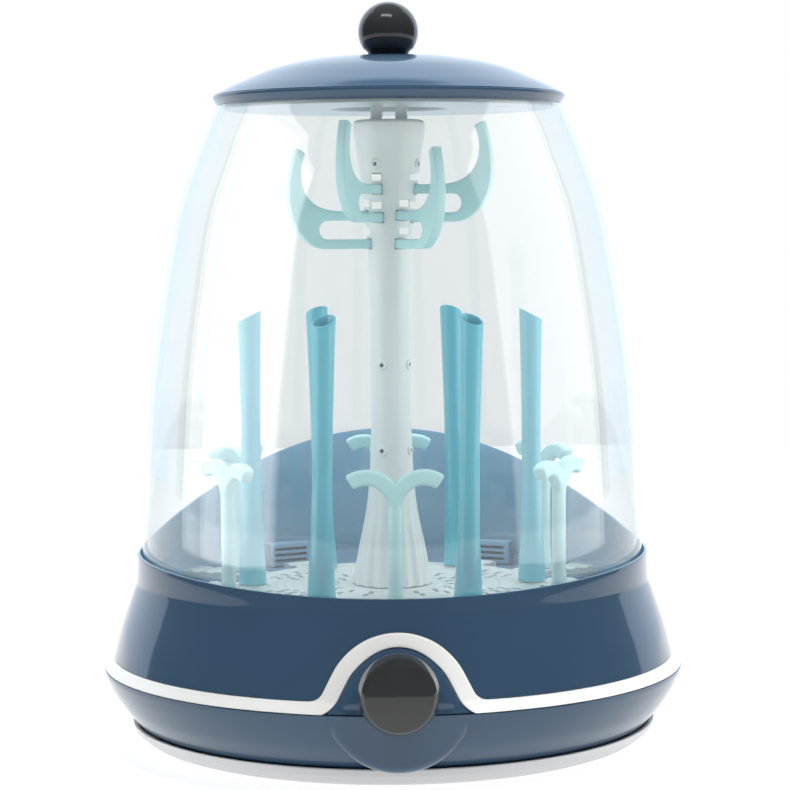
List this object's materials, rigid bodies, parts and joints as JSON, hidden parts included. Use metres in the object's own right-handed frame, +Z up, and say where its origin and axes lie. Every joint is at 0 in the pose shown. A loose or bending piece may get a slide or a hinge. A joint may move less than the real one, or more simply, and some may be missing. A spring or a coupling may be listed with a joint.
{
  "type": "bottle sterilizer",
  "caption": "Round electric steam bottle steriliser and dryer: domed clear cover, knobbed lid, lift-out rack with posts, central tree with hooks, front dial.",
  "frame": {"origin": "on the dome's vertical axis, at the plane that the rubber feet rest on", "axes": "+Z up along the dome's axis, -Y towards the selector knob (front), +X to the right seen from the front"},
  "size_m": [0.3, 0.3175, 0.3812],
  "materials": {
    "navy_plastic": "high-gloss moulded ABS, slate navy",
    "white_plastic": "satin white moulded plastic",
    "trim_plastic": "white gloss trim moulding",
    "teal_plastic": "satin teal polypropylene",
    "mint_plastic": "satin pale mint polypropylene",
    "clear_plastic": "clear polished polycarbonate",
    "black_gloss": "piano-black moulded plastic",
    "black_plastic": "fine-textured black plastic",
    "grey_rubber": "soft grey rubber",
    "silicone": "translucent white silicone",
    "steel": "brushed stainless steel",
    "zinc_screw": "zinc-plated steel",
    "circuit_board": "green circuit board with components",
    "filter_foam": "open-cell dark filter foam"
  },
  "bodies": {
    "base": {"foot_dish": "white_plastic", "rubber_foot_1": "grey_rubber", "rubber_foot_2": "grey_rubber", "rubber_foot_3": "grey_rubber", "rubber_foot_4": "grey_rubber", "base_screw_1": "zinc_screw", "base_screw_2": "zinc_screw", "base_screw_3": "zinc_screw", "base_screw_4": "zinc_screw", "lower_housing": "navy_plastic", "cord_gland": "black_plastic", "upper_housing": "navy_plastic", "trim_band": "trim_plastic", "air_outlet_left": "navy_plastic", "air_outlet_right": "navy_plastic", "heating_plate": "steel", "plate_gasket": "silicone", "heating_element": "steel", "thermostat": "black_plastic", "fan_casing": "black_plastic", "fan_motor": "black_plastic", "control_board": "circuit_board", "selector_switch": "black_plastic"},
    "filter_drawer": {"filter_door": "navy_plastic", "air_filter": "filter_foam"},
    "selector": {"selector_knob": "black_gloss", "selector_shaft": "steel"},
    "fan": {"fan_wheel": "white_plastic", "fan_shaft": "steel"},
    "rack": {"rack": "white_plastic", "bottle_post_1": "teal_plastic", "bottle_post_2": "teal_plastic", "bottle_post_3": "teal_plastic", "bottle_post_4": "teal_plastic", "bottle_post_5": "teal_plastic", "bottle_post_6": "teal_plastic", "teat_post_1": "mint_plastic", "teat_post_2": "mint_plastic", "teat_post_3": "mint_plastic", "teat_post_4": "mint_plastic", "teat_post_5": "mint_plastic", "teat_post_6": "mint_plastic"},
    "tree": {"tree_trunk": "white_plastic", "lifting_loop": "white_plastic"},
    "hook_upper_left": {"tree_hook_upper_left": "mint_plastic"},
    "hook_upper_right": {"tree_hook_upper_right": "mint_plastic"},
    "hook_lower_right": {"tree_hook_lower_right": "mint_plastic"},
    "hook_lower_left": {"tree_hook_lower_left": "mint_plastic"},
    "dome": {"clear_dome": "clear_plastic"},
    "lid": {"lid_shell": "navy_plastic", "lid_liner": "white_plastic", "lid_knob": "black_gloss", "lid_screw": "zinc_screw"}
  },
  "joints": [
    {"name": "filter_pull", "type": "slide", "parent": "base", "child": "filter_drawer", "axis": [0, 1, 0], "range_m": [0, 0.03]},
    {"name": "selector_turn", "type": "hinge", "parent": "base", "child": "selector", "pos_m": [0, -0.154, 0.0512], "axis": [0, -0.9962, 0.0872], "range_deg": [-90, 90]},
    {"name": "fan_spin", "type": "hinge", "parent": "base", "child": "fan", "pos_m": [0, 0.0905, 0.03], "axis": [0, 0, 1], "continuous": true},
    {"name": "rack_lift", "type": "slide", "parent": "base", "child": "rack", "axis": [0, 0, 1], "range_m": [0, 0.04]},
    {"name": "tree_lift", "type": "slide", "parent": "rack", "child": "tree", "axis": [0, 0, 1], "range_m": [0, 0.05]},
    {"name": "dome_lift", "type": "slide", "parent": "tree", "child": "dome", "axis": [0, 0, 1], "range_m": [0, 0.08]},
    {"name": "lid_lift", "type": "slide", "parent": "dome", "child": "lid", "axis": [0, 0, 1], "range_m": [0, 0.06]},
    {"name": "hook_upper_left_pull", "type": "slide", "parent": "tree", "child": "hook_upper_left", "axis": [-0.454, -0.891, 0], "range_m": [0, 0.014]},
    {"name": "hook_upper_right_pull", "type": "slide", "parent": "tree", "child": "hook_upper_right", "axis": [0.9336, -0.3584, 0], "range_m": [0, 0.014]},
    {"name": "hook_lower_right_pull", "type": "slide", "parent": "tree", "child": "hook_lower_right", "axis": [0.4462, -0.8949, 0], "range_m": [0, 0.014]},
    {"name": "hook_lower_left_pull", "type": "slide", "parent": "tree", "child": "hook_lower_left", "axis": [-0.9272, -0.3746, 0], "range_m": [0, 0.014]}
  ]
}
